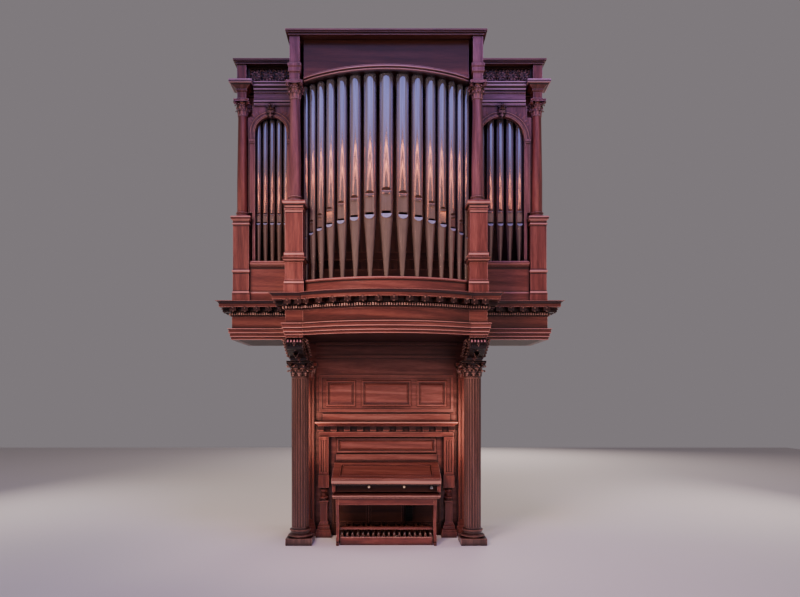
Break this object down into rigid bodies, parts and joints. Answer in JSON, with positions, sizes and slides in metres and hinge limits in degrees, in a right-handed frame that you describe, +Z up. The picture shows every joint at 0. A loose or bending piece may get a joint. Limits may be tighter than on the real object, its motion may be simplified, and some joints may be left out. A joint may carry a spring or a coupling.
{
  "type": "bow-fronted pipe organ with keydesk and bench",
  "caption": "Pipe organ in carved oak: bowed display pipes over a moulded beam, fluted columns, panelled recess with keydesk, pedals and bench.",
  "frame": {"origin": "on the floor under the middle of the whole organ's outline", "axes": "+Z up, +Y from the player's side to the back, +X to the right as seen from the front"},
  "size_m": [4.327, 2.0468, 6.1],
  "materials": {
    "oak": "stained and varnished oak, satin",
    "dark_oak": "dark stained oak, satin",
    "carved_oak": "carved dark oak, satin",
    "pipe_metal": "burnished tin and lead pipe metal",
    "ivory": "ivory and ebony key covers",
    "pedal_wood": "worn hardwood"
  },
  "bodies": {
    "case": {"columns": "dark_oak", "capitals": "carved_oak", "brackets": "carved_oak", "responds": "dark_oak", "recess_wall": "oak", "case_sides": "oak", "case_back": "dark_oak", "shelf": "oak", "shelf_posts": "oak", "knee_panel": "dark_oak", "desk_cheeks": "oak", "key_bed": "dark_oak", "keyboards": "ivory", "stop_jambs": "oak", "pedal_frame": "pedal_wood", "pedal_keys": "pedal_wood", "bench_seat": "oak", "bench_ends": "oak", "bench_rails": "oak", "piers": "oak", "bow_beam": "oak", "side_beam_left": "oak", "side_beam_right": "oak", "soffit_boards": "dark_oak", "upper_floor": "dark_oak", "toe_board": "oak", "middle_pipes": "pipe_metal", "left_pipes": "pipe_metal", "right_pipes": "pipe_metal", "windchest": "dark_oak", "rack_board": "dark_oak", "middle_pedestals": "oak", "middle_columns": "oak", "outer_pedestals": "oak", "outer_columns": "oak", "crest_moulding": "oak", "left_arch": "oak", "right_arch": "oak", "dado_panels": "oak", "side_entablatures": "oak", "carved_bands": "carved_oak", "bay_cheeks": "oak", "upper_sides": "oak", "upper_back": "dark_oak", "roof": "dark_oak"},
    "lid": {"lid": "oak"}
  },
  "joints": [
    {"name": "lid_hinge", "type": "hinge", "parent": "case", "child": "lid", "pos_m": [-0.0435, 0.32, 0.948], "axis": [-1, 0, 0], "range_deg": [0, 90]}
  ]
}
